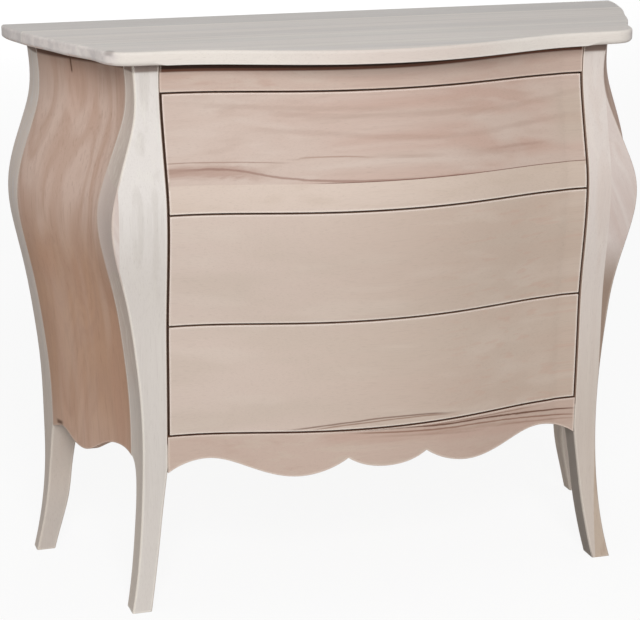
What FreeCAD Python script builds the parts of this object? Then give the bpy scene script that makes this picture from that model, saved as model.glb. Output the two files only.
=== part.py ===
import FreeCAD, Part
import math
import os

from FreeCAD import Vector

# A bombe chest of three drawers in bare, unfinished wood. Millimetres, +Z up. The origin is on the
# floor under the middle of the chest, the drawers face -Y and the back stands towards a wall at +Y.

os.makedirs("parts", exist_ok=True)

# ---------------------------------------------------------------- driving dimensions
HEIGHT = 850.0
TOP_THICKNESS = 20.5
CASE_TOP = HEIGHT - TOP_THICKNESS
FLARE_START = -98.0             # the sides swing outwards between these depths
FLARE_END = 140.0
HALF_OPENING = 331.0            # from the middle to the inner edge of a front post
REAR_OPENING = 419.0            # the same for a rear post
BOW = 54.0                      # how far the middle of the front stands before its ends
BOW_FULLNESS = 0.08             # share of the bow that widens its shoulders

FRONT_THICKNESS = 22.0          # drawer fronts, top rail and apron
PANEL_THICKNESS = 12.0          # veneered side panels
POST_BACK = -62.0               # the straight rear edge of a front post
REAR_POST_FRONT = 114.0
REAR_POST_BACK = 178.0
REAR_RAIL_FRONT = 131.0

# Heights of the joints between the top rail, the three drawers and the apron
JOINT_HEIGHTS = [784.5, 612.6, 441.8, 270.7]
GAP = 3.0                       # play round each drawer front
POST_ARRIS = 1.6                # width planed off the long edges of the posts and legs

SLIDE_CLEARANCE = 1.0           # play between a drawer side and its runner's guide
RAIL_THICKNESS = 18.0
RAIL_DEPTH = 30.0
RAIL_SETBACK = 2.0              # the rails stop this far behind the drawer fronts
RUNNER_LEDGE = 33.5             # width of the part that carries the drawer
GUIDE_THICKNESS = 12.0
GUIDE_HEIGHT = 16.0
REAR_RAIL_DEPTH = 20.0
BACK_PANEL_THICKNESS = 6.0
BACK_PANEL_FOOT = 252.0

SIDE_THICKNESS = 12.0           # drawer sides and backs
BOTTOM_THICKNESS = 5.0
BOTTOM_RAISE = 9.0              # from the lower edge of a drawer side to its bottom board
GROOVE = 5.0
DRAWER_BACK = 125.0
DRAWER_HEADROOM = 4.0
RUNNING_GAP = 0.3               # under the drawer sides and before the stops
STOP_HEIGHT = 14.0
TENON = 12.0
GLUE_BLOCK = 30.0
SCREW_HEAD_DEPTH = 2.5
BACK_SCREW_LENGTH = 18.0
BACK_SCREW_XS = [130.0, 380.0]

# The face of a front post seen from the side, as (height, how far forward)
FRONT_PROFILE = [(0, 136.5), (66, 125), (133, 118.3), (208, 116), (271, 117.3), (332, 118.8), (390, 119.5),
                 (445, 120.8), (491, 125.5), (542, 131.7), (583, 134.9), (613, 135), (642, 131.5), (670, 123.8),
                 (700, 114.8), (730, 106.3), (757, 99.3), (784, 95), (CASE_TOP, 98)]
# The side of the case seen from the front, as (height, distance from the middle at the front, at the rear)
SIDE_PROFILES = [(0, 394.5, 484.5), (50, 384.3, 474), (100, 377.6, 467), (155, 373, 463.3), (225, 370.2, 463.4),
                 (310, 371.5, 466), (400, 379.7, 475.6), (470, 390, 486.5), (530, 403.8, 499), (580, 413.3, 507.5),
                 (622, 412.3, 507), (665, 400, 497.5), (710, 384, 482.5), (750, 371.5, 471.5), (785, 368.2, 469.5),
                 (CASE_TOP, 372, 474)]
# The inner edge of a leg, as (height, how far outside the inner edge of its post)
LEG_INSIDE = [(0, 33), (50, 23.7), (100, 15.8), (150, 9.3), (190, 4), (222, 0)]
REAR_LEG_INSIDE = [(0, 36), (50, 23), (100, 12), (150, 7.3), (190, 3.5), (222, 0)]
# The edges of the legs towards each other, seen from the side, up to the lower edge of the panel
LEG_BACK = [(0, -101.5), (36, -93), (70, -87.5), (115, -83), (160, -81.5), (188, -79.5), (210, -75), (219, -70.5),
            (226.5, POST_BACK)]
REAR_LEG_FRONT = [(0, 155), (45, 151.5), (88, 146), (141, 140), (169, 133), (197, 124.5), (225.5, REAR_POST_FRONT)]
REAR_LEG_SWEEP = [(0, 3), (66, 1.2), (133, 0.3), (205, 0)]

# Scalloped lower edges: half of the apron from its end to the middle, and the side panel's whole edge
APRON_EDGE = [(HALF_OPENING, 212), (300, 227), (268, 232), (205, 214), (145, 199.8), (103, 206), (63, 226)]
APRON_MIDDLE = 208.5
PANEL_EDGE = [(POST_BACK, 226.5), (-45, 234), (-30, 235.8), (-14, 234), (0, 228.5), (12, 221), (24, 213), (37, 209),
              (49, 211.5), (62, 219.5), (73.5, 229.5), (84, 233.8), (98, 230.5), (REAR_POST_FRONT, 225.5)]

# Plan of the table top: bow of the front edge and the curve of each end
TOP_EDGE_FRONT = 122.5
TOP_BOW = 67.5
TOP_END = [(345, -122.5), (372, -121), (396, -115), (409, -102), (416.5, -84), (422, -60), (446, -10), (467, 45),
           (486, 92), (500, 140), (506, 165), (508.5, 190)]
TOP_JOINTS = [-30.0, 112.0]     # glue lines between the boards of the top
TOP_ARRIS = 4.0                 # rounding of the upper edge
TOP_NOSE = 6.5                  # rounding of the lower edge at the ends

# Where the posts are pieced out to their full width, from the inner edge of the post
WIDE_BOARD = 72.0
NARROW_BOARD = 38.5
WAIST = 225.0                   # height where the blocks above and below run out
DRAWER_1_GLUE_LINE = 654.5


# ---------------------------------------------------------------- curves and faces
def spline(points, first_tangent=None, last_tangent=None):
    """A smooth curve through the points."""
    curve = Part.BSplineCurve()
    if first_tangent is None:
        curve.interpolate(points)
    else:
        curve.interpolate(Points=points, InitialTangent=first_tangent, FinalTangent=last_tangent)
    return curve


def upright(points):
    """A smooth curve through points of rising height, with the height as its parameter."""
    curve = Part.BSplineCurve()
    curve.interpolate(Points=points, Parameters=[p.z for p in points])
    return curve


def plate(edges):
    """A flat face inside a closed run of edges."""
    return Part.Face(Part.Wire(Part.__sortEdges__(edges)))


def line(a, b):
    return Part.LineSegment(a, b).toShape()


def patch(poles, plan, profile):
    """The surface on these poles, with the plan curve's knots one way and the profile's the other."""
    surface = Part.BSplineSurface()
    surface.buildFromPolesMultsKnots(
        poles, plan.getMultiplicities(), profile.getMultiplicities(), plan.getKnots(), profile.getKnots(),
        False, False, plan.Degree, profile.Degree)
    return surface.toShape()


def carried_face(plan, profile):
    """The double-curved face made by carrying the plan curve along the profile without turning it."""
    return patch([[a + b for b in profile.getPoles()] for a in plan.getPoles()], plan, profile)


def blended_face(plan, profile, far_profile):
    """The face that goes over from one profile to another as the plan curve's X rises from 0 to 1."""
    poles = []
    for step in plan.getPoles():
        pairs = zip(profile.getPoles(), far_profile.getPoles())
        poles.append([near * (1 - step.x) + far * step.x + Vector(0, step.y, 0) for near, far in pairs])
    return patch(poles, plan, profile)


def bow(x, depth):
    """How far a serpentine front stands out at x: full in the middle, hollow towards the posts."""
    t = min(abs(x) / HALF_OPENING, 1.0)
    shoulder = (1 - math.cos(2 * math.pi * t)) / 2
    return depth * ((1 + math.cos(math.pi * t)) / 2 + BOW_FULLNESS * shoulder)


def serpentine(half_width, depth, y_end, z):
    """The plan curve of a bowed front, from left to right."""
    xs = [HALF_OPENING * i / 8 for i in range(-8, 9)]
    if half_width > HALF_OPENING:
        xs = [-half_width] + xs + [half_width]
    points = [Vector(x, y_end - bow(x, depth), z) for x in xs]
    return spline(points, Vector(1, 0, 0), Vector(1, 0, 0))


def flare(y):
    """How far the side of the case has gone over from its front profile to its rear one at y."""
    t = min(max((y - FLARE_START) / (FLARE_END - FLARE_START), 0.0), 1.0)
    return (1 - math.cos(math.pi * t)) / 2


def box(x0, x1, y0, y1, z0, z1):
    return Part.makeBox(x1 - x0, y1 - y0, z1 - z0, Vector(x0, y0, z0))


def mirrored(shape):
    """The left-hand copy of a right-hand piece."""
    return shape.mirror(Vector(0, 0, 0), Vector(1, 0, 0))


def solid(shape):
    """The one solid of a cut or a common, without seams left over from the operation."""
    found = shape.Solids
    assert len(found) == 1, f"{len(found)} solids"
    return found[0]


def save(node, *shapes):
    shape = shapes[0] if len(shapes) == 1 else Part.makeCompound(list(shapes))
    for piece in shape.Solids:
        assert piece.isValid() and piece.Volume > 0, node
    shape.exportStep(f"parts/{node}.step")


# ---------------------------------------------------------------- the curved envelope of the case
front_profile = upright([Vector(0, -y, z) for z, y in FRONT_PROFILE])
front_face = carried_face(serpentine(HALF_OPENING, BOW, 0, 0), front_profile)
near_side = upright([Vector(x, 0, z) for z, x, _ in SIDE_PROFILES])
far_side = upright([Vector(x, 0, z) for z, _, x in SIDE_PROFILES])
flare_depths = [-200, -150] + [FLARE_START + (FLARE_END - FLARE_START) * i / 10 for i in range(11)] + [200]
flare_plan = spline([Vector(flare(y), y, 0) for y in flare_depths], Vector(0, 1, 0), Vector(0, 1, 0))
side_face = blended_face(flare_plan, near_side, far_side)
side_envelope = side_face.extrude(Vector(-200, 0, 0))
front_slab = front_face.extrude(Vector(0, FRONT_THICKNESS, 0))


def before_front(depth):
    """All that stands before a face this deep inside the serpentine front."""
    face = front_face.copy()
    face.translate(Vector(0, depth, 0))
    return face.extrude(Vector(0, -300, 0))


def front_at(z):
    """How far forward the face of the post stands at a height."""
    return -front_profile.value(z).y


# ---------------------------------------------------------------- posts
def post_front_view(inner_edge, leg_inside):
    """The part of the post's stock that its inner edge leaves, wide enough for the whole outer edge."""
    inner = spline([Vector(x + inner_edge, -400, z) for z, x in leg_inside])
    foot, knee = inner.StartPoint, inner.EndPoint
    head = Vector(knee.x, knee.y, CASE_TOP)
    far_head = Vector(520, knee.y, CASE_TOP)
    far_foot = Vector(520, knee.y, 0)
    return plate([inner.toShape(), line(knee, head), line(head, far_head), line(far_head, far_foot),
                  line(far_foot, foot)])


def post(outer_edge, leg_edge, inner_edge, leg_inside):
    """A post whose leg is sawn to one edge, straight above the leg, and shaped to the side of the case."""
    leg = spline([Vector(0, y, z) for z, y in leg_edge])
    knee, foot = leg.EndPoint, leg.StartPoint
    head = Vector(0, knee.y, CASE_TOP)
    side_view = plate([outer_edge.toShape(), leg.toShape(), line(knee, head), line(head, outer_edge.EndPoint),
                       line(foot, outer_edge.StartPoint)])
    blank = side_view.extrude(Vector(520, 0, 0))
    blank = blank.common(post_front_view(inner_edge, leg_inside).extrude(Vector(0, 700, 0)))
    return solid(blank.common(side_envelope))


def eased(post, faces_front):
    """The post with its long edges planed off, down its face at the front or at the back, and on the leg."""
    chosen = []
    for edge in post.Edges:
        room = edge.BoundBox
        on_face = room.YMax < POST_BACK - 20 if faces_front else room.YMin > REAR_POST_BACK - 1
        on_leg = room.ZMax < PANEL_EDGE[0][1] + 1
        if edge.Length > 150 and (on_face or on_leg):
            chosen.append(edge)
    return solid(post.makeChamfer(POST_ARRIS, chosen))


def rear_edge():
    """The back of a rear post, straight down to the leg and swept backwards at the foot."""
    return spline([Vector(0, REAR_POST_BACK + sweep, z) for z, sweep in REAR_LEG_SWEEP]
                  + [Vector(0, REAR_POST_BACK, z) for z in (260, 400, 600, CASE_TOP)])


def board_of(post, glue_line):
    """The board that runs the whole height of a post, as far as its glue line."""
    return solid(post.common(box(0, glue_line, -300, 300, 0, HEIGHT)))


def block_of(post, glue_line, low, high):
    """The block glued to that board between two heights, to make up the post's full width."""
    return solid(post.common(box(glue_line, 600, -300, 300, low, high)))


# ---------------------------------------------------------------- rails, runners and their joints
class Level:
    """The heights and depths of one joint between two drawers, and the rails and runners behind it."""

    def __init__(self, joint):
        self.low = joint - RAIL_THICKNESS / 2
        self.high = joint + RAIL_THICKNESS / 2
        self.rail_front = -front_at(joint) + FRONT_THICKNESS + RAIL_SETBACK
        self.rail_back = self.rail_front + RAIL_DEPTH


def tenon(x, y0, y1, z0, z1):
    """A stub tenon on the right-hand end of a rail whose shoulder is at x."""
    return box(x - 1, x + TENON, y0 + 4, y1 - 4, z0 + 4, z1 - 4)


def tenoned(rail, x, y0, y1, z0, z1):
    """The rail with a tenon at each end, and the right-hand tenon for its mortise."""
    tongue = tenon(x, y0, y1, z0, z1)
    return solid(rail.fuse([tongue, mirrored(tongue)]).removeSplitter()), tongue


levels = [Level(z) for z in JOINT_HEIGHTS[1:]]
front_mortises = []
rear_mortises = []
front_rails = []
rear_rails = []
for level in levels:
    rail = box(-HALF_OPENING, HALF_OPENING, level.rail_front, level.rail_back, level.low, level.high)
    rail, tongue = tenoned(rail, HALF_OPENING, level.rail_front, level.rail_back, level.low, level.high)
    front_rails.append(rail)
    front_mortises.append(tongue)

rear_spans = [(level.low, level.high) for level in levels] + [(JOINT_HEIGHTS[0] + GAP / 2, CASE_TOP)]
for low, high in rear_spans:
    y0, y1 = REAR_RAIL_FRONT, REAR_RAIL_FRONT + REAR_RAIL_DEPTH
    rail, tongue = tenoned(box(-REAR_OPENING, REAR_OPENING, y0, y1, low, high), REAR_OPENING, y0, y1, low, high)
    rear_rails.append(rail)
    rear_mortises.append(tongue)


def runner(level):
    """The right-hand runner of a drawer: a ledge that carries it and a guide that keeps it straight."""
    ledge = box(HALF_OPENING - RUNNER_LEDGE, HALF_OPENING, level.rail_back, REAR_RAIL_FRONT, level.low, level.high)
    guide = box(HALF_OPENING - GUIDE_THICKNESS, HALF_OPENING, level.rail_back, REAR_RAIL_FRONT,
                level.high - 1, level.high + GUIDE_HEIGHT)
    return solid(ledge.fuse(guide).removeSplitter())


rail_names = ["upper_divider_rail", "lower_divider_rail", "bottom_front_rail"]
runner_names = ["upper_drawer_runner", "middle_drawer_runner", "lower_drawer_runner"]
rear_rail_names = ["rear_upper_rail", "rear_lower_rail", "rear_bottom_rail"]
stops = []
for level, rail, rail_name, runner_name in zip(levels, front_rails, rail_names, runner_names):
    save(rail_name, rail)
    right_runner = runner(level)
    save("right_" + runner_name, right_runner)
    save("left_" + runner_name, mirrored(right_runner))
    # A small block glued on the end of each runner stops the drawer flush with the posts
    stop = box(HALF_OPENING - RUNNER_LEDGE, HALF_OPENING - GUIDE_THICKNESS, DRAWER_BACK + RUNNING_GAP,
               REAR_RAIL_FRONT, level.high, level.high + STOP_HEIGHT)
    stops += [stop, mirrored(stop)]
save("drawer_stops", *stops)

# ---------------------------------------------------------------- posts
full_front_post = eased(post(front_profile, LEG_BACK, HALF_OPENING, LEG_INSIDE), True)
full_front_post = full_front_post.cut(Part.makeCompound(front_mortises))
full_rear_post = eased(post(rear_edge(), REAR_LEG_FRONT, REAR_OPENING, REAR_LEG_INSIDE), False)
full_rear_post = full_rear_post.cut(Part.makeCompound(rear_mortises))

wide_glue_line = HALF_OPENING + WIDE_BOARD
save("front_left_post", mirrored(board_of(full_front_post, wide_glue_line)))
save("front_left_bulge_block", mirrored(block_of(full_front_post, wide_glue_line, WAIST, HEIGHT)))

narrow_glue_line = HALF_OPENING + NARROW_BOARD
save("front_right_post", board_of(full_front_post, narrow_glue_line))
save("front_right_foot_block", block_of(full_front_post, narrow_glue_line, 0, WAIST))
save("front_right_bulge_block", block_of(full_front_post, narrow_glue_line, WAIST, HEIGHT))

rear_glue_line = REAR_OPENING + WIDE_BOARD
rear_board = board_of(full_rear_post, rear_glue_line)
rear_block = block_of(full_rear_post, rear_glue_line, WAIST, HEIGHT)
save("rear_right_post", rear_board)
save("rear_left_post", mirrored(rear_board))
save("rear_right_bulge_block", rear_block)
save("rear_left_bulge_block", mirrored(rear_block))


# ---------------------------------------------------------------- side panels and back
def side_panel():
    """The right-hand panel, bent to the side of the case and fitted between the posts."""
    lower_edge = spline([Vector(0, y, z) for y, z in PANEL_EDGE])
    start, end = lower_edge.StartPoint, lower_edge.EndPoint
    front_head, rear_head = Vector(0, start.y, CASE_TOP), Vector(0, end.y, CASE_TOP)
    view = plate([lower_edge.toShape(), line(start, front_head), line(front_head, rear_head), line(rear_head, end)])
    slab = side_face.extrude(Vector(-PANEL_THICKNESS, 0, 0))
    return solid(slab.common(view.extrude(Vector(600, 0, 0))))


panel = side_panel()
save("right_side_panel", panel)
save("left_side_panel", mirrored(panel))

# ---------------------------------------------------------------- screws and what they hold
def screw(length, shank, head, foot, direction):
    """A countersunk screw whose head lies flush at the foot point."""
    cone = Part.makeCone(head / 2, shank / 2, SCREW_HEAD_DEPTH, foot, direction)
    stem = Part.makeCylinder(shank / 2, length, foot, direction)
    return solid(cone.fuse(stem).removeSplitter())


back_face = REAR_RAIL_FRONT + REAR_RAIL_DEPTH + BACK_PANEL_THICKNESS
back_panel = box(-REAR_OPENING, REAR_OPENING, back_face - BACK_PANEL_THICKNESS, back_face,
                 BACK_PANEL_FOOT, CASE_TOP)
back_screws = []
for low, high in rear_spans:
    for x in BACK_SCREW_XS:
        for side in (-1, 1):
            back_screws.append(screw(BACK_SCREW_LENGTH, 3.5, 7, Vector(side * x, back_face, (low + high) / 2),
                                     Vector(0, -1, 0)))
held = Part.makeCompound(back_screws)
back_panel = back_panel.cut(held)
rear_rails = [rail.cut(held) for rail in rear_rails]
save("back_panel", back_panel)
save("back_panel_screws", *back_screws)

top_rail = front_slab.common(box(-HALF_OPENING, HALF_OPENING, -300, 100, JOINT_HEIGHTS[0] + GAP / 2, CASE_TOP))
save("top_front_rail", solid(top_rail))
rail_foot = JOINT_HEIGHTS[0] + GAP / 2
kicker = box(HALF_OPENING - RUNNER_LEDGE, HALF_OPENING, -120, REAR_RAIL_FRONT, rail_foot, CASE_TOP)
kicker = solid(kicker.cut(before_front(FRONT_THICKNESS)))
block_x = HALF_OPENING - RUNNER_LEDGE - GLUE_BLOCK
front_block = box(block_x, block_x + GLUE_BLOCK, -45, -45 + GLUE_BLOCK, CASE_TOP - GLUE_BLOCK, CASE_TOP)
front_block = front_block.cut(before_front(FRONT_THICKNESS))
rear_block = box(block_x, block_x + GLUE_BLOCK, REAR_RAIL_FRONT - GLUE_BLOCK, REAR_RAIL_FRONT,
                 CASE_TOP - GLUE_BLOCK, CASE_TOP)
top_screws = []
for x, y, z in ((HALF_OPENING - RUNNER_LEDGE / 2, 10, rail_foot + 17),
                (HALF_OPENING - RUNNER_LEDGE / 2, 95, rail_foot + 17),
                (block_x + GLUE_BLOCK / 2, -25, CASE_TOP - GLUE_BLOCK),
                (block_x + GLUE_BLOCK / 2, REAR_RAIL_FRONT - GLUE_BLOCK / 2, CASE_TOP - GLUE_BLOCK)):
    top_screws.append(screw(CASE_TOP + 12 - z, 4, 8, Vector(x, y, z), Vector(0, 0, 1)))
    if z < CASE_TOP - GLUE_BLOCK:
        kicker = kicker.cut(Part.makeCylinder(5, z - rail_foot, Vector(x, y, rail_foot)))
top_screws += [mirrored(s) for s in top_screws]
held = Part.makeCompound(top_screws)
kicker = solid(kicker.cut(held))
glue_blocks = [solid(b.cut(held)) for b in (front_block, rear_block)]
save("right_top_rail", kicker)
save("left_top_rail", mirrored(kicker))
save("top_glue_blocks", *glue_blocks, *[mirrored(b) for b in glue_blocks])
save("top_screws", *top_screws)
for name, rail in zip(rear_rail_names + ["rear_top_rail"], rear_rails):
    save(name, solid(rail))


# ---------------------------------------------------------------- apron
def apron():
    """The scalloped board under the drawers: an arch, a lobe and a cusp each side of a middle lobe."""
    outer = spline([Vector(x, -300, z) for x, z in APRON_EDGE])
    cusp_x, cusp_z = APRON_EDGE[-1]
    middle = spline([Vector(-cusp_x, -300, cusp_z), Vector(-cusp_x / 2, -300, APRON_MIDDLE + 3.5),
                     Vector(0, -300, APRON_MIDDLE), Vector(cusp_x / 2, -300, APRON_MIDDLE + 3.5),
                     Vector(cusp_x, -300, cusp_z)])
    high = JOINT_HEIGHTS[3] - GAP / 2
    end = outer.StartPoint
    corner = Vector(end.x, end.y, high)
    edges = [outer.toShape(), mirrored(outer.toShape()), middle.toShape(), line(end, corner),
             line(Vector(-end.x, end.y, end.z), Vector(-corner.x, corner.y, corner.z)),
             line(corner, Vector(-corner.x, corner.y, corner.z))]
    return solid(front_slab.common(plate(edges).extrude(Vector(0, 400, 0))))


save("apron", apron())


# ---------------------------------------------------------------- table top
def table_top():
    front_edge = serpentine(TOP_END[0][0], TOP_BOW, -TOP_EDGE_FRONT, CASE_TOP)
    end_curve = spline([Vector(x, y, CASE_TOP) for x, y in TOP_END])
    end_edge = end_curve.toShape()
    rear = end_curve.EndPoint
    edges = [front_edge.toShape(), end_edge, mirrored(end_edge), line(rear, Vector(-rear.x, rear.y, rear.z))]
    slab = plate(edges).extrude(Vector(0, 0, TOP_THICKNESS))
    arris = [e for e in slab.Edges if e.BoundBox.ZMin > HEIGHT - 0.1 and e.BoundBox.YMin < rear.y - 1]
    slab = slab.makeFillet(TOP_ARRIS, arris)
    nose = [e for e in slab.Edges if e.BoundBox.ZMax < CASE_TOP + 0.1 and abs(e.CenterOfMass.x) > 300]
    slab = slab.makeFillet(TOP_NOSE, nose)
    return solid(slab.cut(held))


top = table_top()
bands = [-400] + TOP_JOINTS + [400]
for name, y0, y1 in zip(("top_front_board", "top_middle_board", "top_rear_board"), bands, bands[1:]):
    save(name, solid(top.common(box(-600, 600, y0, y1, 0, 1000))))


# ---------------------------------------------------------------- drawers
def drawer(name, joint_above, joint_below, headroom_under, level):
    """One drawer: a bowed front, two sides, a back and a bottom that slides into grooves from behind."""
    low, high = joint_below + GAP / 2, joint_above - GAP / 2
    half = HALF_OPENING - GAP
    outside = HALF_OPENING - GUIDE_THICKNESS - SLIDE_CLEARANCE
    inside = outside - SIDE_THICKNESS
    foot = level.high + RUNNING_GAP
    head = headroom_under - DRAWER_HEADROOM
    floor = foot + BOTTOM_RAISE
    bottom = box(-inside - GROOVE, inside + GROOVE, -250, DRAWER_BACK, floor, floor + BOTTOM_THICKNESS)
    bottom = solid(bottom.cut(before_front(FRONT_THICKNESS - GROOVE)))
    front = front_slab.common(box(-half, half, -300, 100, low, high)).cut(bottom)
    side = box(inside, outside, -200, DRAWER_BACK, foot, head).cut(before_front(FRONT_THICKNESS))
    side = solid(side.cut(bottom))
    back = box(-inside, inside, DRAWER_BACK - SIDE_THICKNESS, DRAWER_BACK, floor + BOTTOM_THICKNESS, head - 6)
    save(name + "_right_side", side)
    save(name + "_left_side", mirrored(side))
    save(name + "_back", back)
    save(name + "_bottom", bottom)
    return solid(front)


ceilings = [rail_foot] + [level.low for level in levels[:2]]
for i, name in enumerate(("upper_drawer", "middle_drawer", "lower_drawer")):
    front = drawer(name, JOINT_HEIGHTS[i], JOINT_HEIGHTS[i + 1], ceilings[i], levels[i])
    if i == 0:
        save(name + "_front_board", solid(front.common(box(-400, 400, -400, 200, DRAWER_1_GLUE_LINE, 900))))
        save(name + "_front_strip", solid(front.common(box(-400, 400, -400, 200, 500, DRAWER_1_GLUE_LINE))))
    else:
        save(name + "_front", front)
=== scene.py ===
import bpy
import math
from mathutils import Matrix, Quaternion, Vector

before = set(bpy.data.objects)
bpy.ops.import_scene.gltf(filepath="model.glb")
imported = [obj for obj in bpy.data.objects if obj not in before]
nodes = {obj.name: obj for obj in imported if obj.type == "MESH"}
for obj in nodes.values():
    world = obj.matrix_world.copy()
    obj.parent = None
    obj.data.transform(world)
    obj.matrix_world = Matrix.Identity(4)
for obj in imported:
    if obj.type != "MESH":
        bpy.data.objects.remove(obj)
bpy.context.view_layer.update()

# ------------------------------------------------------------------------------------------ the room
# A pale floor without an edge and a white surround. The floor shows nearly white to the camera and keeps
# the chest's shadow. One large soft lamp stands in front, a little to the left and well above the top, and
# a low wide one lights the back.
FLOOR_SIZE = 40.0
FLOOR_COLOUR = (0.55, 0.55, 0.55, 1.0)
FLOOR_SEEN = (1.0, 1.0, 1.0, 1.0)   # the same floor to the camera, apart from its glow
FLOOR_GLOW = 0.88                   # share of plain white that the camera sees in the floor
FLOOR_ROUGHNESS = 0.9
SURROUND_COLOUR = (1.0, 1.0, 1.0, 1.0)
SURROUND_LIGHT = 0.38               # its strength on the chest
SURROUND_SEEN = 1.0                 # its strength to the camera and in reflections
LAMP_AIM = (0, 0, 0.45)
FRONT_LAMP_PLACE = (-1.14, -4.24, 2.85)
FRONT_LAMP_SIZE = (2.0, 2.0)
FRONT_LAMP_POWER = 140
BACK_LAMP_PLACE = (1.2, 7.5, 0.8)
BACK_LAMP_SIZE = (4.0, 1.2)
BACK_LAMP_POWER = 150

MIX_SHARE = 0                       # the sockets of a Mix node that mixes colours
MIX_FROM = 6
MIX_TO = 7
MIX_RESULT = 2


class Value:
    """A number, colour or vector in a material, so that grain and streaks are written as plain sums."""

    def __init__(self, tree, socket=None):
        self.tree = tree
        self.socket = socket

    def node(self, kind, settings, sockets, output=0):
        """Adds any node: its settings or curve points first, then the values or links of its sockets."""
        made = self.tree.nodes.new("ShaderNode" + kind)
        for name, setting in settings.items():
            if name == "points":
                line = made.mapping.curves[0]
                line.points[0].location = setting[0]
                line.points[1].location = setting[-1]
                for point in setting[1:-1]:
                    line.points.new(*point)
                made.mapping.update()
            else:
                setattr(made, name, setting)
        for name, value in sockets.items():
            if isinstance(value, Value):
                self.tree.links.new(value.socket, made.inputs[name])
            else:
                made.inputs[name].default_value = value
        return Value(self.tree, made.outputs[output])

    def feed(self, socket):
        """Links this value to a socket of a shader or of the output."""
        self.tree.links.new(self.socket, socket)

    def maths(self, operation, *others):
        """Any operation of the Math node on this value."""
        return self.node("Math", {"operation": operation}, dict(enumerate((self,) + others)))

    def __add__(self, other):
        return self.maths("ADD", other)

    def __sub__(self, other):
        return self.maths("SUBTRACT", other)

    def __rsub__(self, other):
        return self * -1 + other

    def __mul__(self, other):
        return self.maths("MULTIPLY", other)

    def __abs__(self):
        return self.maths("ABSOLUTE")

    __radd__ = __add__
    __rmul__ = __mul__

    def between(self, low, high):
        """0 below low, 1 above high and a smooth rise between them; high may be the lower one."""
        return self.node("MapRange", {"interpolation_type": "SMOOTHSTEP"},
                         {"Value": self, "From Min": low, "From Max": high})

    def towards(self, colour, share):
        """This colour mixed with another by a share."""
        return self.node("Mix", {"data_type": "RGBA"}, {MIX_SHARE: share, MIX_FROM: self, MIX_TO: colour},
                         MIX_RESULT)


bpy.ops.object.select_all(action="DESELECT")
bpy.ops.mesh.primitive_plane_add(size=FLOOR_SIZE)
floor = bpy.context.object
floor.name = "floor"
floor_paint = bpy.data.materials.new("floor_paint")
floor_paint.use_nodes = True
paint = floor_paint.node_tree
matt = paint.nodes["Principled BSDF"]
matt.inputs["Roughness"].default_value = FLOOR_ROUGHNESS
seen = Value(paint).node("LightPath", {}, {}, "Is Camera Ray")
floor_tone = seen.node("Mix", {"data_type": "RGBA"},
                       {MIX_SHARE: seen, MIX_FROM: FLOOR_COLOUR, MIX_TO: FLOOR_SEEN}, MIX_RESULT)
floor_tone.feed(matt.inputs["Base Color"])
glow = seen.node("Emission", {}, {})
glowing_floor = seen.node("MixShader", {}, {"Fac": seen * FLOOR_GLOW, 1: Value(paint, matt.outputs[0]),
                                            2: glow})
glowing_floor.feed(paint.nodes["Material Output"].inputs["Surface"])
floor.data.materials.append(floor_paint)

world = bpy.data.worlds.new("surround")
bpy.context.scene.world = world
world.use_nodes = True
background = world.node_tree.nodes["Background"]
background.inputs["Color"].default_value = SURROUND_COLOUR
seen = Value(world.node_tree).node("LightPath", {}, {}, "Is Camera Ray")
mirrored = seen.node("LightPath", {}, {}, "Is Glossy Ray")
strength = seen.node("MapRange", {}, {"Value": seen.maths("MAXIMUM", mirrored), "To Min": SURROUND_LIGHT,
                                      "To Max": SURROUND_SEEN})
strength.feed(background.inputs["Strength"])


def soft_lamp(name, place, size, power):
    """A lamp of this width and height, turned to the middle of the chest."""
    panel = bpy.data.lights.new(name, "AREA")
    panel.shape = "RECTANGLE"
    panel.size = size[0]
    panel.size_y = size[1]
    panel.energy = power
    lamp = bpy.data.objects.new(name, panel)
    lamp.location = place
    lamp.rotation_mode = "QUATERNION"
    lamp.rotation_quaternion = (Vector(LAMP_AIM) - Vector(place)).to_track_quat("-Z", "Y")
    bpy.context.scene.collection.objects.link(lamp)


soft_lamp("front_lamp", FRONT_LAMP_PLACE, FRONT_LAMP_SIZE, FRONT_LAMP_POWER)
soft_lamp("back_lamp", BACK_LAMP_PLACE, BACK_LAMP_SIZE, BACK_LAMP_POWER)

# ---------------------------------------------------------------------------------------- the camera
# A long lens a little above the top and to the left of the chest's middle, which looks down on it by
# sixteen degrees.
LENS = 122.07
CAMERA_PLACE = (-1.0574, -3.0997, 1.3466)
AZIMUTH = math.radians(-17.9014)
ELEVATION = math.radians(16.0)
ROLL = math.radians(0.3779)

view_back = Vector((math.sin(AZIMUTH) * math.cos(ELEVATION), -math.cos(AZIMUTH) * math.cos(ELEVATION),
                    math.sin(ELEVATION)))
lens = bpy.data.cameras.new("camera")
lens.lens = LENS
camera = bpy.data.objects.new("camera", lens)
camera.location = CAMERA_PLACE
camera.rotation_mode = "QUATERNION"
camera.rotation_quaternion = (-view_back).to_track_quat("-Z", "Y") @ Quaternion((0, 0, 1), ROLL)
bpy.context.scene.collection.objects.link(camera)
bpy.context.scene.camera = camera
bpy.context.scene.view_settings.view_transform = "Standard"

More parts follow.
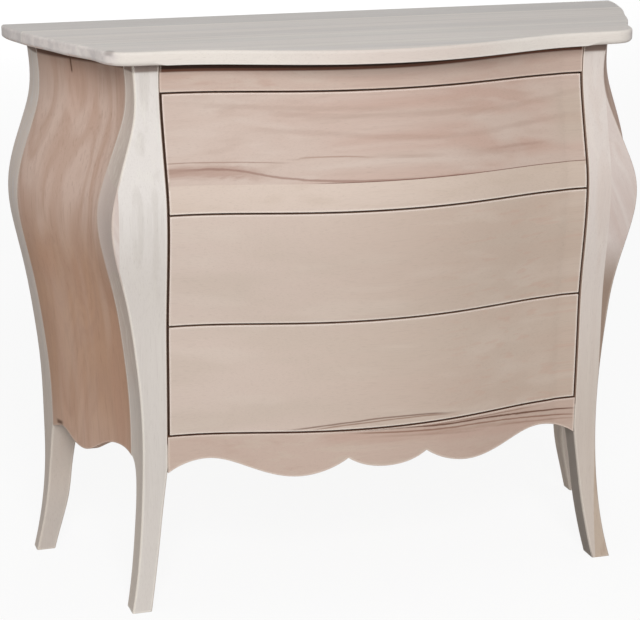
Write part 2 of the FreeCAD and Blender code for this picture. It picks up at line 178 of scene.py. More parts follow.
# ------------------------------------------------------------------------------- posts and their legs
# Each post is a board of pale hardwood, sawn to a double curve, and runs down into the leg. Its arrises are
# planed off and painted a little lighter than the sawn faces, partly as wear from handling and partly as a
# painted highlight. The right one, and the rear ones with their blocks, are warmer in colour than the left
# front one.
ARRIS = 0.0015                      # radius by which the material rounds an arris
WORN_AND_HIGHLIT_WIDTH = 0.005                  # how far from an arris the wood is worn and carries a painted highlight
WORN_AND_HIGHLIT_TURN = (0.004, 0.06)           # 1 less the cosine of the turn within that width, from none to full wear and highlight
BEVEL_SAMPLES = 4
SEED_STEP = 7.3                     # how far apart two draws of noise are taken
WANDER_SCALE = 3.0                  # of the slow bends of the grain
FACES_ASIDE = (0.35, 0.8)           # sideways part of a face's normal, from none to wholly aside
FACES_AHEAD = (0.2, 0.5)            # the same for faces to the front or the back
FACES_INWARD = (-0.1, -0.2)         # sideways part times the place along X, for faces to the middle
NEAR_GLUE_LINE = (0.0045, 0.0075)   # distances from a glue line, from no arris to a whole one
FIBRES = (0.05, 0.0012)             # length and width, in metres
PORES = (0.014, 0.0009)
SANDING = (0.2, 0.008)
FIBRES_UNDER = (0.5, 0.3)           # noise at which fibres darken the wood, from none to full
PORES_OVER = (0.62, 0.74)
FIBRE_BROWN = (118, 95, 78)
FIBRE_SHADE = 0.07
PORE_BROWN = (105, 80, 62)
PORE_SHADE = 0.09
FIBRE_RELIEF = 0.7
SANDING_RELIEF = 0.6
PORE_RELIEF = 0.5
RELIEF_STRENGTH = 0.6
RELIEF_DEPTH = 0.0001
LEAST_ROUGHNESS = 0.47              # sanding adds up to ROUGHNESS_CHANGE
ROUGHNESS_CHANGE = 0.3
SPECULAR = 0.25
STREAK_TEETH = (0.07, 0.004)        # length and width of the raggedness along a streak's edge
STREAK_CORE = 0.2                   # share of a streak's half width that has its full colour
STREAK_FADE = 0.03                  # how far each end fades in and out
LEAST_RISE = 0.001

LEFT_GLUE_LINE = 0.403              # how far out from the middle the blocks' glue lines are
RIGHT_GLUE_LINE = 0.3695
REAR_GLUE_LINES = 0.491
UNDER_TOP = (0.8145, 0.8185)        # heights between which the wood darkens to a painted shadow line under the top
BESIDE_DRAWERS = (0.255, 0.26)      # above this the front posts stand beside the drawers
# painted shadow: the dark brown line on the posts just under the top
UNDER_TOP_SHADE_BROWN = (96, 62, 42)
# painted shade on the posts' faces deep in the gaps beside the drawers
GAP_SHADE_BROWN = (126, 96, 78)

PALE_POST = (229, 223, 218)
PALE_POST_GREY = (205, 198, 190)
PALE_POST_WHITE = (232, 227, 220)
PALE_POST_LOW_SHADE = (204, 194, 184)
PALE_POST_SIDE = (212, 195, 182)
PALE_POST_SIDE_HIGH = (216, 184, 160)
PALE_POST_SIDE_WHITE = (236, 226, 214)
PALE_POST_SIDE_LOW = (224, 212, 200)
PALE_POST_WORN_HIGHLIGHT = (250, 243, 232)
PALE_POST_WEAR_AND_HIGHLIGHT = 0.85

WARM_POST = (224, 213, 206)
WARM_POST_PINK = (212, 194, 183)
WARM_POST_WHITE = (232, 222, 213)
WARM_POST_LOW = (202, 187, 172)
WARM_POST_FOOT = (214, 206, 200)
WARM_POST_HIGH = (234, 226, 220)
WARM_POST_SIDE = (226, 211, 198)
WARM_LEG_INSIDE_SHADE = (152, 144, 137)
WARM_POST_WORN_HIGHLIGHT = (244, 234, 221)
WARM_POST_WEAR_AND_HIGHLIGHT = 0.75


def tint(red, green, blue):
    """A colour as it looks, from 0 to 255, in the linear values that a material takes."""
    return tuple(((c / 255 + 0.055) / 1.055) ** 2.4 for c in (red, green, blue)) + (1.0,)


class Wood:
    """Bare wood whose fibres run along X, Y or Z, with its colour still open to further marks."""

    def __init__(self, name, along, colour, seed, lean=(0, 0, 0), sway=0.012):
        self.material = bpy.data.materials.new(name)
        self.material.use_nodes = True
        self.tree = self.material.node_tree
        self.along = along
        self.seed = seed
        start = Value(self.tree)
        at = start.node("TexCoord", {}, {}, "Object")
        self.x = start.node("SeparateXYZ", {}, {"Vector": at}, "X")
        self.y = start.node("SeparateXYZ", {}, {"Vector": at}, "Y")
        self.z = start.node("SeparateXYZ", {}, {"Vector": at}, "Z")
        turned = start.node("Mapping", {}, {"Vector": at, "Rotation": lean, "Location": (seed,) * 3})
        wander = start.node("TexNoise", {}, {"Vector": turned, "Scale": WANDER_SCALE, "Detail": 1.0},
                            "Color")
        self.place = start.node("VectorMath", {"operation": "MULTIPLY_ADD"},
                                {0: wander, 1: (sway,) * 3, 2: turned})
        self.facing = start.node("NewGeometry", {}, {}, "Normal")
        self.facing_x = start.node("SeparateXYZ", {}, {"Vector": self.facing}, "X")
        facing_y = start.node("SeparateXYZ", {}, {"Vector": self.facing}, "Y")
        self.aside = abs(self.facing_x).between(*FACES_ASIDE)
        self.ahead = abs(facing_y).between(*FACES_AHEAD)
        self.colour = start.node("RGB", {}, {})
        self.colour.socket.default_value = tint(*colour)

    def noise(self, length, width, detail=2.0):
        """Cloudy lengthwise streaks of about this length and width in metres, mostly from 0.3 to 0.7."""
        self.seed += SEED_STEP
        scale = [1 / width] * 3
        scale["XYZ".index(self.along)] = 1 / length
        placed = self.place.node("Mapping", {}, {"Vector": self.place, "Location": (self.seed,) * 3,
                                                 "Scale": scale})
        return placed.node("TexNoise", {}, {"Vector": placed, "Scale": 1.0, "Detail": detail})

    def mark(self, colour, mask, share=1.0):
        """Lays a share of another colour over the wood where the mask is above 0."""
        self.colour = self.colour.towards(tint(*colour), mask * share)

    def grain(self, colour, length, width, over, share, detail=2.0):
        """Marks streaks along the grain, from none to full between the two values of noise in over."""
        self.mark(colour, self.noise(length, width, detail).between(*over), share)

    def streak(self, colour, points, half_width, strength):
        """A mineral streak on a front, through points of (x, height) from left to right."""
        left = points[0][0]
        right = points[-1][0]
        low = min(z for x, z in points)
        rise = max(max(z for x, z in points) - low, LEAST_RISE)
        curve = [((x - left) / (right - left), (z - low) / rise) for x, z in points]
        across = self.x.node("MapRange", {}, {"Value": self.x, "From Min": left, "From Max": right})
        middle = self.x.node("FloatCurve", {"points": curve}, {"Value": across})
        ragged = (self.noise(*STREAK_TEETH, detail=3.0) - 0.5) * half_width
        away = abs(self.z - (middle * rise + low) + ragged)
        begun = self.x.between(left - STREAK_FADE, left + STREAK_FADE)
        not_ended = self.x.between(right + STREAK_FADE, right - STREAK_FADE)
        self.mark(colour, away.between(half_width, half_width * STREAK_CORE) * begun * not_ended, strength)

    def streaks(self, rows):
        """A streak for each row of colour, points, half width and strength."""
        for row in rows:
            self.streak(*row)

    def close(self, worn_highlight=(238, 233, 226), wear_and_highlight=0.6, eased=1.0):
        """Adds pores, fibres and eased arrises with wear and a painted highlight, and returns the finished
        material.
        """
        fibres = self.noise(*FIBRES, detail=4.0)
        pores = self.noise(*PORES, detail=1.0).between(*PORES_OVER)
        sanding = self.noise(*SANDING)
        self.mark(PORE_BROWN, pores, PORE_SHADE)
        self.mark(FIBRE_BROWN, fibres.between(*FIBRES_UNDER), FIBRE_SHADE)
        wide = self.colour.node("Bevel", {"samples": BEVEL_SAMPLES}, {"Radius": WORN_AND_HIGHLIT_WIDTH})
        level = self.colour.node("VectorMath", {"operation": "DOT_PRODUCT"}, {0: wide, 1: self.facing},
                                 "Value")
        # the lighter colour at the arrises is partly wear and partly a painted highlight
        self.mark(worn_highlight, (1 - level).between(*WORN_AND_HIGHLIT_TURN) * eased, wear_and_highlight)
        rounded = self.colour.node("Bevel", {"samples": BEVEL_SAMPLES}, {"Radius": eased * ARRIS})
        relief = fibres * FIBRE_RELIEF + sanding * SANDING_RELIEF - pores * PORE_RELIEF
        bump = self.colour.node("Bump", {}, {"Height": relief, "Strength": RELIEF_STRENGTH,
                                             "Distance": RELIEF_DEPTH, "Normal": rounded})
        shader = self.tree.nodes["Principled BSDF"]
        self.colour.feed(shader.inputs["Base Color"])
        (sanding * ROUGHNESS_CHANGE + LEAST_ROUGHNESS).feed(shader.inputs["Roughness"])
        bump.feed(shader.inputs["Normal"])
        shader.inputs["Specular IOR Level"].default_value = SPECULAR
        return self.material


def dress(material, *names):
    """Gives the material to nodes of the CAD model."""
    for name in names:
        nodes[name].material_slots[0].material = material


def off_glue_line(wood, distance):
    """0 along a glue line this far out from the middle, where no arris shows, and 1 elsewhere."""
    return abs(abs(wood.x) - distance).between(*NEAR_GLUE_LINE)


def inner_face(wood):
    """1 on the faces that look towards the chest's middle, and 0 elsewhere."""
    return wood.aside * (wood.x * wood.facing_x).between(*FACES_INWARD)


pale_post = Wood("pale_post_wood", "Z", PALE_POST, 1.0)
below_bulge = pale_post.z.between(0.64, 0.5)
above_leg = pale_post.z.between(0.3, 0.42)
on_leg = pale_post.z.between(0.4, 0.15)
in_gap = inner_face(pale_post) * pale_post.z.between(*BESIDE_DRAWERS)
pale_post.grain(PALE_POST_GREY, length=0.9, width=0.016, over=(0.48, 0.68), share=0.4)
pale_post.grain(PALE_POST_WHITE, length=0.7, width=0.01, over=(0.5, 0.68), share=0.5)
# painted shade: the post darkens below the bulge
pale_post.mark(PALE_POST_LOW_SHADE, below_bulge, share=0.4)
pale_post.mark(PALE_POST_SIDE, pale_post.aside, share=0.35)
pale_post.mark(PALE_POST_SIDE_HIGH, pale_post.aside * above_leg, share=0.28)
pale_post.grain(PALE_POST_SIDE_WHITE, length=0.8, width=0.005, over=(0.5, 0.65),
                share=pale_post.aside * 0.4, detail=1.0)
pale_post.mark(PALE_POST_SIDE_LOW, pale_post.aside * on_leg, share=0.7)
# painted shadow under the top
pale_post.mark(UNDER_TOP_SHADE_BROWN, pale_post.z.between(*UNDER_TOP), share=0.7)
# painted shade in the gap beside the drawers
pale_post.mark(GAP_SHADE_BROWN, in_gap)
eased = off_glue_line(pale_post, LEFT_GLUE_LINE)
dress(pale_post.close(PALE_POST_WORN_HIGHLIGHT, (1 - in_gap) * PALE_POST_WEAR_AND_HIGHLIGHT, eased), "front_left_post")

warm_post = Wood("warm_post_wood", "Z", WARM_POST, 5.0)
below_bulge = warm_post.z.between(0.62, 0.2)
left_foot = warm_post.z.between(0.14, 0.05) * warm_post.x.between(0, -0.1)
above_bulge = warm_post.z.between(0.66, 0.8)
inside_front = inner_face(warm_post) * warm_post.y.between(0, -0.02)
in_gap = inside_front * warm_post.z.between(*BESIDE_DRAWERS)
warm_post.grain(WARM_POST_PINK, length=0.9, width=0.02, over=(0.46, 0.7), share=0.4)
warm_post.grain(WARM_POST_WHITE, length=0.7, width=0.01, over=(0.5, 0.7), share=0.35, detail=1.0)
warm_post.mark(WARM_POST_LOW, below_bulge, share=0.55)
warm_post.mark(WARM_POST_FOOT, left_foot, share=0.4)
warm_post.mark(WARM_POST_HIGH, above_bulge, share=0.4)
warm_post.grain(WARM_POST_SIDE, length=0.8, width=0.006, over=(0.3, 0.6), share=warm_post.aside * 0.75,
                detail=1.0)
# painted shadow under the top
warm_post.mark(UNDER_TOP_SHADE_BROWN, warm_post.z.between(*UNDER_TOP), share=0.8)
# painted shade in the gap beside the drawers
warm_post.mark(GAP_SHADE_BROWN, in_gap)
# painted shade on the inner face of the front right leg
warm_post.mark(WARM_LEG_INSIDE_SHADE, inside_front - in_gap, share=0.85)
eased = off_glue_line(warm_post, REAR_GLUE_LINES) * off_glue_line(warm_post, RIGHT_GLUE_LINE)
dress(warm_post.close(WARM_POST_WORN_HIGHLIGHT, (1 - in_gap) * WARM_POST_WEAR_AND_HIGHLIGHT, eased), "front_right_post",
      "rear_left_post", "rear_right_post", "rear_left_bulge_block", "rear_right_bulge_block")

# ------------------------------------------------------------------------------------ glued-on blocks
# Where a front post's board is too narrow for the bulge or the foot, a block of pinker or browner wood is
# glued to its outer edge and sawn to the same curves. The grain of the bulge's blocks leans away from the
# post's.
BLOCK_LEAN = (0, 0.42, 0)
PINK_BLOCK = (216, 202, 195)
PINK_BLOCK_DARK = (203, 180, 170)
PINK_BLOCK_WHITE = (224, 213, 206)
PINK_BLOCK_LOW = (154, 132, 116)
PINK_BLOCK_SIDE = (222, 204, 193)
PINK_BLOCK_WORN_HIGHLIGHT = (234, 218, 204)
FOOT_BLOCK = (200, 182, 165)
FOOT_BLOCK_DARK = (180, 156, 138)
FOOT_BLOCK_WORN_HIGHLIGHT = (226, 212, 198)

pink_block = Wood("pink_block_wood", "Z", PINK_BLOCK, 20.0, lean=BLOCK_LEAN)
lower_end = pink_block.z.between(0.54, 0.44)
pink_block.grain(PINK_BLOCK_DARK, length=0.3, width=0.03, over=(0.46, 0.7), share=0.45)
pink_block.grain(PINK_BLOCK_WHITE, length=0.25, width=0.014, over=(0.5, 0.7), share=0.6, detail=1.0)
pink_block.mark(PINK_BLOCK_LOW, lower_end, share=0.95)
pink_block.mark(PINK_BLOCK_SIDE, pink_block.aside, share=0.75)
eased = off_glue_line(pink_block, LEFT_GLUE_LINE) * off_glue_line(pink_block, RIGHT_GLUE_LINE)
dress(pink_block.close(PINK_BLOCK_WORN_HIGHLIGHT, 0.6, eased), "front_left_bulge_block", "front_right_bulge_block")

foot_block = Wood("foot_block_wood", "Z", FOOT_BLOCK, 26.0)
foot_block.grain(FOOT_BLOCK_DARK, length=0.3, width=0.012, over=(0.46, 0.66), share=0.6, detail=3.0)
eased = off_glue_line(foot_block, RIGHT_GLUE_LINE)
dress(foot_block.close(FOOT_BLOCK_WORN_HIGHLIGHT, 0.5, eased), "front_right_foot_block")

# ---------------------------------------------------------------------------------------- side panels
# Each side is bent plywood with a pinkish veneer, glued in between the front and rear posts. The veneer's
# flame figure runs up the panel. The left one has a short check under the top and a small knot at its lower
# rear corner.
VENEER = (212, 186, 171)
VENEER_BELOW_BULGE = (184, 140, 108)
VENEER_FLAME = (184, 148, 127)
VENEER_FINE = (168, 130, 108)
VENEER_TICK = (158, 122, 102)
VENEER_PALE = (216, 192, 177)
VENEER_RED = (200, 154, 130)
VENEER_OVERHANG_SHADE = (158, 126, 108)
VENEER_SHADE_LINE = (84, 50, 34)
VENEER_UNDER_TOP = (0.8155, 0.8205)
VENEER_WORN_HIGHLIGHT = (226, 206, 192)
FLAME_ANGLE = 50.0                  # radians of the bands' sine, from the least growth to the most
FLAME_RAGGED = 6.0
FINE_ANGLE = 130.0
FINE_RAGGED = 8.0
CHECK_PLACE = 0.039                 # along Y
CHECK_BROWN = (96, 66, 50)
KNOT_PLACE = 0.091
KNOT_HEIGHT = 0.2375
KNOT_BROWN = (92, 64, 48)


def banded(value):
    """Turns a rising value into even bands, from 0 to 1."""
    return value.maths("SINE") * 0.5 + 0.5


veneer = Wood("side_veneer", "Z", VENEER, 40.0, sway=0.035)
growth = veneer.noise(length=0.5, width=0.12, detail=1.5)
flame = banded(growth * FLAME_ANGLE + veneer.noise(length=0.16, width=0.03, detail=1.0) * FLAME_RAGGED)
fine = banded(growth * FINE_ANGLE + veneer.noise(length=0.2, width=0.02) * FINE_RAGGED)
below_bulge = veneer.z.between(0.64, 0.5) * veneer.z.between(0.05, 0.35)
above_bulge = veneer.z.between(0.74, 0.82)
left_panel = veneer.x.between(0.1, -0.1)
check = abs(veneer.y - CHECK_PLACE).between(0.0022, 0.0006) * veneer.z.between(0.796, 0.802)
knot = abs(veneer.y - KNOT_PLACE).between(0.012, 0.003) * abs(veneer.z - KNOT_HEIGHT).between(0.006, 0.001)
veneer.mark(VENEER_BELOW_BULGE, below_bulge, share=0.74)
veneer.mark(VENEER_FLAME, flame.between(0.1, 1.0), share=0.4)
veneer.grain(VENEER_FINE, length=0.3, width=0.05, over=(0.35, 0.6), share=fine.between(0.3, 1.0) * 0.15,
             detail=1.0)
veneer.grain(VENEER_TICK, length=0.09, width=0.0035, over=(0.54, 0.7), share=0.22)
veneer.grain(VENEER_PALE, length=0.5, width=0.03, over=(0.5, 0.72), share=0.25, detail=1.0)
veneer.grain(VENEER_RED, length=0.4, width=0.06, over=(0.54, 0.7), share=0.2, detail=1.0)
# painted shade under the top's overhang
veneer.mark(VENEER_OVERHANG_SHADE, above_bulge, share=0.5)
# painted shadow line just under the top
veneer.mark(VENEER_SHADE_LINE, veneer.z.between(*VENEER_UNDER_TOP), share=0.9)
veneer.mark(CHECK_BROWN, check * left_panel, share=0.85)
veneer.mark(KNOT_BROWN, knot * left_panel, share=0.85)
dress(veneer.close(VENEER_WORN_HIGHLIGHT), "left_side_panel", "right_side_panel")

# --------------------------------------------------------------------------- rail under the top, apron
# Both are sawn from thick boards of the same pinkish wood and follow the bow of the front. The apron carries
# long brown mineral streaks from its middle to its right end.
PINK_RAIL = (206, 184, 171)
PINK_RAIL_DARK = (196, 164, 149)
PINK_RAIL_PALE = (210, 194, 181)
PINK_RAIL_RIGHT = (190, 164, 150)
PINK_RAIL_WORN_HIGHLIGHT = (240, 222, 208)
RAIL_SHADE_LINE = (96, 54, 34)
RAIL_SHADOW = (46, 26, 16)
SHADE_LINE_RISE = 0.0045                  # how much higher the painted shadow line under the top runs on the right than on the left

PINK_APRON = (206, 183, 169)
PINK_APRON_DARK = (195, 166, 151)
PINK_APRON_PALE = (210, 194, 178)
PINK_APRON_RIGHT = (194, 168, 153)
APRON_UPPER_FACE_SHADE = (136, 100, 80)
PINK_APRON_WORN_HIGHLIGHT = (242, 227, 214)
STREAK_BROWN = (112, 78, 62)
PALE_STREAK_BROWN = (146, 110, 92)
APRON_STREAKS = [                   # colour, points of (x, height), half width and strength
    ((196, 160, 145), [(-0.1, 0.262), (0.05, 0.25), (0.16, 0.24), (0.3, 0.236)], 0.014, 0.3),
    (STREAK_BROWN, [(-0.0815, 0.269), (-0.025, 0.2685), (0.039, 0.2663), (0.097, 0.2632), (0.156, 0.262),
                    (0.232, 0.2573), (0.331, 0.2515)], 0.0022, 0.95),
    (PALE_STREAK_BROWN, [(-0.046, 0.265), (0.039, 0.2598), (0.097, 0.2566), (0.157, 0.2547),
                         (0.245, 0.2482), (0.331, 0.2412)], 0.002, 0.85),
    (PALE_STREAK_BROWN, [(0.06, 0.2665), (0.16, 0.2652), (0.25, 0.264)], 0.0016, 0.6),
    ((168, 134, 116), [(0.06, 0.2535), (0.11, 0.2515), (0.18, 0.2475), (0.25, 0.2395)], 0.0045, 0.32),
    ((160, 128, 112), [(-0.01, 0.2565), (0.05, 0.2525), (0.11, 0.247), (0.15, 0.244)], 0.0026, 0.3),
    ((158, 124, 108), [(0.2, 0.2445), (0.25, 0.2405), (0.331, 0.2355)], 0.002, 0.5),
]

rail = Wood("pink_rail_wood", "X", PINK_RAIL, 60.0)
right_part = rail.x.between(-0.2, 0.25)
height = rail.z - rail.x.between(0.0, 0.28) * SHADE_LINE_RISE
rail.grain(PINK_RAIL_DARK, length=0.9, width=0.014, over=(0.46, 0.68), share=0.5)
rail.grain(PINK_RAIL_PALE, length=0.9, width=0.01, over=(0.5, 0.68), share=0.4)
rail.mark(PINK_RAIL_RIGHT, right_part, share=0.4)
# painted shadow under the top's overhang, in two dark bands
rail.mark(RAIL_SHADE_LINE, height.between(0.8135, 0.8165), share=0.95)
rail.mark(RAIL_SHADOW, height.between(0.8185, 0.8205), share=0.9)
dress(rail.close(PINK_RAIL_WORN_HIGHLIGHT, rail.ahead * 0.7), "top_front_rail")

apron = Wood("pink_apron_wood", "X", PINK_APRON, 66.0)
right_part = apron.x.between(-0.1, 0.2)
shaded_upper_face = (1 - apron.ahead) * apron.z.between(0.25, 0.254)
apron.grain(PINK_APRON_DARK, length=0.7, width=0.014, over=(0.46, 0.68), share=0.4)
apron.grain(PINK_APRON_PALE, length=0.7, width=0.01, over=(0.5, 0.68), share=0.4)
apron.mark(PINK_APRON_RIGHT, right_part, share=0.4)
apron.streaks(APRON_STREAKS)
# painted shade on the apron's upper face, in the gap under the lowest drawer
apron.mark(APRON_UPPER_FACE_SHADE, shaded_upper_face)
dress(apron.close(PINK_APRON_WORN_HIGHLIGHT, apron.ahead * 0.85), "apron")

# ----------------------------------------------------------------- rails, runners and drawer boxes inside
# The parts that nobody sees are of plain softwood, planed and left bare. The rails across the chest are
# tenoned into the posts, the runners, stops and blocks are glued on, and the drawer boxes are plain boards.
SOFTWOOD = (216, 196, 166)
SOFTWOOD_DARK = (196, 168, 132)
SOFTWOOD_PALE = (228, 214, 190)
ALONG_X = ["upper_divider_rail", "lower_divider_rail", "bottom_front_rail", "rear_upper_rail",
           "rear_lower_rail", "rear_bottom_rail", "rear_top_rail", "drawer_stops", "top_glue_blocks"]
ALONG_Y = ["left_top_rail", "right_top_rail"]

for drawer in ("upper", "middle", "lower"):
    for side in ("left", "right"):
        ALONG_Y += [f"{side}_{drawer}_drawer_runner", f"{drawer}_drawer_{side}_side"]
    ALONG_X.append(f"{drawer}_drawer_back")
for along, names in (("X", ALONG_X), ("Y", ALONG_Y)):
    softwood = Wood("inner_wood_" + along.lower(), along, SOFTWOOD, 100.0)
    softwood.grain(SOFTWOOD_DARK, length=0.6, width=0.009, over=(0.48, 0.66), share=0.7, detail=3.0)
    softwood.grain(SOFTWOOD_PALE, length=0.5, width=0.02, over=(0.5, 0.68), share=0.5, detail=3.0)
    dress(softwood.close(), *names)

# ------------------------------------------------------------------------------ back and drawer bottoms
# These are thin plywood, whose peeled veneer shows broad waves. The back is screwed to the rear rails, and
# each bottom slides from behind into grooves in its drawer's front and sides.
PLYWOOD = (214, 194, 164)
PLYWOOD_DARK = (192, 164, 130)
PLYWOOD_PALE = (218, 198, 168)
WAVE_ANGLE = 55.0

plywood = Wood("thin_board", "X", PLYWOOD, 110.0, sway=0.03)
waves = banded(plywood.noise(length=0.9, width=0.12, detail=1.5) * WAVE_ANGLE)
plywood.mark(PLYWOOD_DARK, waves.between(0.3, 1.0), share=0.4)
plywood.grain(PLYWOOD_PALE, length=0.5, width=0.02, over=(0.5, 0.68), share=0.5, detail=3.0)
dress(plywood.close(), "back_panel", "upper_drawer_bottom", "middle_drawer_bottom", "lower_drawer_bottom")

# --------------------------------------------------------------------------------------------- screws
# Small countersunk screws of zinc-plated steel hold the back from behind and the top from below. The
# plating is bright, with cloudy dull patches.
ZINC = (196, 198, 200)
DULL_ZINC = (150, 148, 140)
PATCH_SCALE = 900.0
LEAST_ZINC_ROUGHNESS = 0.15         # the patches add up to ZINC_ROUGHNESS_CHANGE
ZINC_ROUGHNESS_CHANGE = 0.4

zinc = bpy.data.materials.new("zinc_plated_steel")
zinc.use_nodes = True
steel = zinc.node_tree.nodes["Principled BSDF"]
steel.inputs["Metallic"].default_value = 1.0
bright = Value(zinc.node_tree).node("RGB", {}, {})
bright.socket.default_value = tint(*ZINC)
at = bright.node("TexCoord", {}, {}, "Object")
patches = at.node("TexNoise", {}, {"Vector": at, "Scale": PATCH_SCALE})
bright.towards(tint(*DULL_ZINC), patches.between(0.45, 0.65)).feed(steel.inputs["Base Color"])
(patches * ZINC_ROUGHNESS_CHANGE + LEAST_ZINC_ROUGHNESS).feed(steel.inputs["Roughness"])
dress(zinc, "back_panel_screws", "top_screws")

# --------------------------------------------------------------------------------------- drawer fronts
# Each front is a solid bowed board. The upper one is glued up from a wide streaked board and a paler strip
# below it; the other two are plain and turn darker towards the right, where the heartwood begins.
# partly the sawn edge's own brown and partly painted shade for the gaps between the fronts
SAWN_EDGE_AND_GAP_SHADE = (160, 124, 100)
LEAST_SAWN = 0.35                   # share of that colour on a sawn edge before its streaks add theirs
FRONT_WORN_HIGHLIGHT = (248, 236, 225)

PLAIN_FRONT = (217, 199, 187)
PLAIN_FRONT_RIGHT = (198, 176, 159)
PLAIN_FRONT_DARK = (204, 188, 173)
PLAIN_FRONT_PALE = (222, 208, 195)
PLAIN_FRONT_RED = (203, 170, 153)
PLAIN_FRONT_STREAKS = [
    (STREAK_BROWN, [(-0.147, 0.2743), (-0.0665, 0.2825), (0.006, 0.2862), (0.096, 0.2815)], 0.002, 0.7),
    (PALE_STREAK_BROWN, [(-0.122, 0.2723), (-0.026, 0.2812), (0.038, 0.2826), (0.096, 0.2796)], 0.0018, 0.7),
]

STRIP = (218, 200, 187)
STRIP_DARK = (206, 187, 171)
STRIP_RIGHT = (200, 180, 163)

STREAKED_BOARD = (208, 188, 176)
STREAKED_BOARD_RED = (198, 166, 152)
STREAKED_BOARD_DARK = (188, 164, 150)
STREAKED_BOARD_PALE = (216, 200, 189)
STREAKED_BOARD_RIGHT = (196, 172, 157)
STREAKED_BOARD_END = (196, 179, 163)
STREAKED_BOARD_WORN_HIGHLIGHT = (246, 232, 221)
GLUE_LINE_BROWN = (112, 74, 60)
GLUE_LINE_HEIGHTS = (0.6563, 0.655)     # from clear wood to the dark line between the board and the strip
LOW_STREAKS = [                         # the ones that run into the glue line or just above it
    ((176, 144, 130), [(-0.35, 0.6715), (-0.28, 0.6725), (-0.2, 0.668)], 0.013, 0.7),
    ((146, 112, 96), [(-0.35, 0.6855), (-0.28, 0.686), (-0.209, 0.6854), (-0.17, 0.6845)], 0.0014, 0.55),
    ((146, 112, 98), [(-0.3, 0.6755), (-0.26, 0.6762), (-0.225, 0.6735), (-0.19, 0.6675), (-0.165, 0.6635),
                      (-0.1, 0.6585), (0.0, 0.6557), (0.12, 0.6553)], 0.0026, 0.65),
    ((158, 126, 112), [(-0.35, 0.6745), (-0.3, 0.676)], 0.006, 0.4),
]
HIGH_STREAKS = [
    ((180, 154, 140), [(-0.27, 0.7655), (-0.13, 0.7605), (0.0, 0.757)], 0.006, 0.3),
    ((180, 152, 138), [(-0.18, 0.7545), (-0.076, 0.7485), (0.046, 0.746), (0.15, 0.747)], 0.006, 0.3),
    ((172, 143, 129), [(-0.2, 0.731), (-0.135, 0.7275), (0.012, 0.7155), (0.11, 0.711), (0.217, 0.717),
                       (0.325, 0.726)], 0.006, 0.22),
    ((160, 126, 108), [(-0.14, 0.689), (-0.1, 0.692), (-0.04, 0.6895)], 0.0018, 0.55),
    ((172, 144, 130), [(0.0, 0.6885), (0.07, 0.686)], 0.004, 0.35),
    ((176, 144, 130), [(0.12, 0.686), (0.18, 0.6835), (0.26, 0.684)], 0.009, 0.3),
    ((160, 128, 114), [(0.17, 0.6875), (0.25, 0.6875)], 0.0035, 0.3),
    ((178, 150, 135), [(0.12, 0.74), (0.22, 0.746), (0.33, 0.76)], 0.006, 0.3),
]


def saw_edges(wood):
    """Leaves a front's narrow faces rough and browner than its show face, in streaks along the grain. The
    brown is partly the sawn wood's own and partly painted shade for the gaps between the fronts.
    """
    rough_streaks = wood.noise(length=0.3, width=0.004, detail=1.0) + LEAST_SAWN
    wood.mark(SAWN_EDGE_AND_GAP_SHADE, (1 - wood.ahead) * rough_streaks)


plain_front = Wood("drawer_front_wood", "X", PLAIN_FRONT, 80.0, sway=0.03)
right_part = plain_front.x.between(-0.36, 0.3)
right_half = plain_front.x.between(0, 0.2)
plain_front.mark(PLAIN_FRONT_RIGHT, right_part, share=0.8)
plain_front.grain(PLAIN_FRONT_DARK, length=0.5, width=0.05, over=(0.42, 0.66), share=0.4)
plain_front.grain(PLAIN_FRONT_PALE, length=0.25, width=0.03, over=(0.5, 0.7), share=0.25)
plain_front.grain(PLAIN_FRONT_RED, length=0.3, width=0.008, over=(0.58, 0.7), share=right_half * 0.35,
                  detail=1.0)
plain_front.streaks(PLAIN_FRONT_STREAKS)
saw_edges(plain_front)
dress(plain_front.close(FRONT_WORN_HIGHLIGHT, plain_front.ahead), "middle_drawer_front", "lower_drawer_front")

strip = Wood("front_strip_wood", "X", STRIP, 86.0)
right_part = strip.x.between(-0.1, 0.3)
below_glue_line = strip.z.between(0.651, 0.647)
strip.grain(STRIP_DARK, length=0.9, width=0.02, over=(0.46, 0.66), share=0.4)
strip.mark(STRIP_RIGHT, right_part, share=0.55)
saw_edges(strip)
dress(strip.close(FRONT_WORN_HIGHLIGHT, strip.ahead, below_glue_line), "upper_drawer_front_strip")

board = Wood("streaked_front_wood", "X", STREAKED_BOARD, 90.0)
red_part = board.x.between(-0.3, 0.1)
right_part = board.x.between(-0.1, 0.32)
dark_glue_line = board.z.between(*GLUE_LINE_HEIGHTS) * board.x.between(-0.14, -0.08)
grey_end = board.x.between(0.25, 0.31) * board.z.between(0.67, 0.7) * board.z.between(0.775, 0.74)
above_glue_line = board.z.between(0.658, 0.662)
board.grain(STREAKED_BOARD_RED, length=1.6, width=0.035, over=(0.38, 0.62), share=red_part * 0.8, detail=1.0)
board.grain(STREAKED_BOARD_DARK, length=2.4, width=0.012, over=(0.5, 0.74), share=0.3, detail=1.0)
board.grain(STREAKED_BOARD_PALE, length=2.0, width=0.016, over=(0.48, 0.7), share=0.35, detail=1.0)
board.mark(STREAKED_BOARD_RIGHT, right_part, share=0.35)
board.streaks(LOW_STREAKS)
board.mark(GLUE_LINE_BROWN, dark_glue_line, share=0.8)
board.streaks(HIGH_STREAKS)
board.mark(STREAKED_BOARD_END, grey_end, share=0.6)
saw_edges(board)
dress(board.close(STREAKED_BOARD_WORN_HIGHLIGHT, board.ahead, above_glue_line), "upper_drawer_front_board")

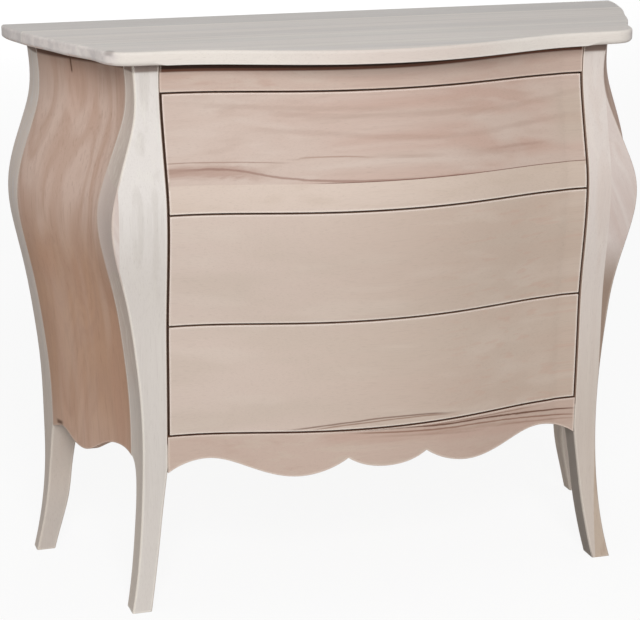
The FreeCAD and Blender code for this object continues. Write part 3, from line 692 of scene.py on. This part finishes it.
# --------------------------------------------------------------------------------------------- the top
# Three boards of pale wood glued edge to edge, with a rounded upper arris. The face is weathered to a cool
# grey with long streaks, and the ends show end grain.
REAR_JOINT = 0.112                      # place along Y of the glue line before the rear board
TOP_FACE = (228, 221, 215)
TOP_GREY = (214, 209, 205)
TOP_DARK = (202, 195, 190)
TOP_PALE = (232, 227, 219)
REAR_BOARD_GREY = (204, 200, 197)
REAR_JOINT_PALE = (236, 228, 219)
FRONT_EDGE = (240, 231, 221)
FRONT_EDGE_PINK = (212, 192, 182)
TOP_END = (242, 232, 228)
END_GRAIN = (206, 198, 196)
END_LOWER_EDGE = (222, 186, 166)
TOP_WORN_HIGHLIGHT = (244, 240, 232)
CORNER_KNOT = (-0.4055, -0.1035)        # its place in plan, at the left front corner
CORNER_KNOT_GREY = (150, 138, 134)

top = Wood("top_wood", "X", TOP_FACE, 120.0)
rear_board = top.y.between(REAR_JOINT - 0.0005, REAR_JOINT + 0.0005)
joint = abs(top.y - REAR_JOINT).between(0.0022, 0.0008)
edge_middle = top.x.between(-0.25, 0.0) * top.x.between(0.22, 0.08)
lower_edge = top.z.between(0.834, 0.8325)
knot = abs(top.x - CORNER_KNOT[0]).between(0.01, 0.002) * abs(top.y - CORNER_KNOT[1]).between(0.01, 0.003)
on_face = top.z.between(0.842, 0.847)
top.grain(TOP_GREY, length=1.4, width=0.04, over=(0.42, 0.66), share=0.6)
top.grain(TOP_DARK, length=1.2, width=0.009, over=(0.54, 0.72), share=0.3, detail=1.0)
top.grain(TOP_PALE, length=1.3, width=0.016, over=(0.5, 0.68), share=0.35)
top.mark(REAR_BOARD_GREY, rear_board, share=0.6)
top.mark(REAR_JOINT_PALE, joint, share=0.6)
top.mark(FRONT_EDGE, top.ahead, share=0.6)
top.mark(FRONT_EDGE_PINK, top.ahead * edge_middle, share=0.5)
top.mark(TOP_END, top.aside, share=0.6)
top.grain(END_GRAIN, length=0.03, width=0.014, over=(0.35, 0.65), share=top.aside * 0.5)
top.grain(END_LOWER_EDGE, length=0.03, width=0.02, over=(0.4, 0.6), share=top.aside * lower_edge * 0.6)
top.mark(CORNER_KNOT_GREY, knot * on_face, share=0.6)
dress(top.close(TOP_WORN_HIGHLIGHT), "top_front_board", "top_middle_board", "top_rear_board")
